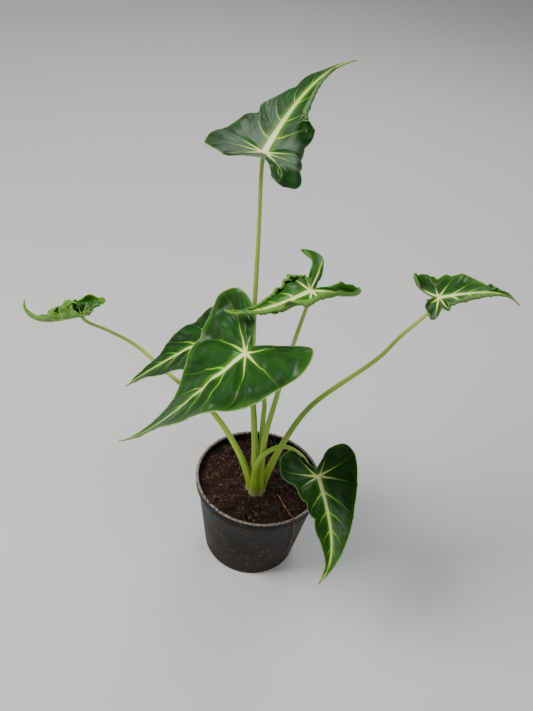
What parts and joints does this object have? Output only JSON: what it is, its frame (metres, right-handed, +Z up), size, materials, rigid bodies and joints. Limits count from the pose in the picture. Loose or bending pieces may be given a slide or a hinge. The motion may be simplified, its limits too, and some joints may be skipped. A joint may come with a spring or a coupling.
{
  "type": "potted alocasia plant",
  "caption": "Alocasia houseplant with dark velvety arrow-shaped leaves and pale veins on long stalks, in a plain black round nursery pot filled with soil.",
  "frame": {"origin": "middle of the pot's flat underside", "axes": "+Z up along the pot, -Y toward the viewer of the picture, +X to the viewer's right"},
  "size_m": [0.4132, 0.2439, 0.4609],
  "materials": {
    "pot_plastic": "dusty semi-matt black",
    "potting_soil": "damp crumbly peat and fibre, stands in for soil",
    "stem_skin": "living plant skin, satin",
    "leaf_skin_top": "velvety leaf with pale veins",
    "stalk_skin_top": "satin plant stalk",
    "leaf_skin_front": "velvety leaf with pale veins",
    "stalk_skin_front": "satin plant stalk",
    "leaf_skin_behind": "velvety leaf with pale veins",
    "stalk_skin_behind": "satin plant stalk",
    "leaf_skin_inner": "velvety leaf with pale veins",
    "stalk_skin_inner": "satin plant stalk",
    "leaf_skin_rolled": "velvety leaf with pale veins",
    "stalk_skin_rolled": "satin plant stalk",
    "leaf_skin_right": "velvety leaf with pale veins",
    "stalk_skin_right": "satin plant stalk",
    "leaf_skin_low": "velvety leaf with pale veins",
    "stalk_skin_low": "satin plant stalk"
  },
  "bodies": {
    "root": {"pot": "pot_plastic", "soil": "potting_soil", "stem": "stem_skin", "leaf_top": "leaf_skin_top", "stalk_top": "stalk_skin_top", "leaf_front": "leaf_skin_front", "stalk_front": "stalk_skin_front", "leaf_behind": "leaf_skin_behind", "stalk_behind": "stalk_skin_behind", "leaf_inner": "leaf_skin_inner", "stalk_inner": "stalk_skin_inner", "leaf_rolled": "leaf_skin_rolled", "stalk_rolled": "stalk_skin_rolled", "leaf_right": "leaf_skin_right", "stalk_right": "stalk_skin_right", "leaf_low": "leaf_skin_low", "stalk_low": "stalk_skin_low"}
  },
  "joints": []
}
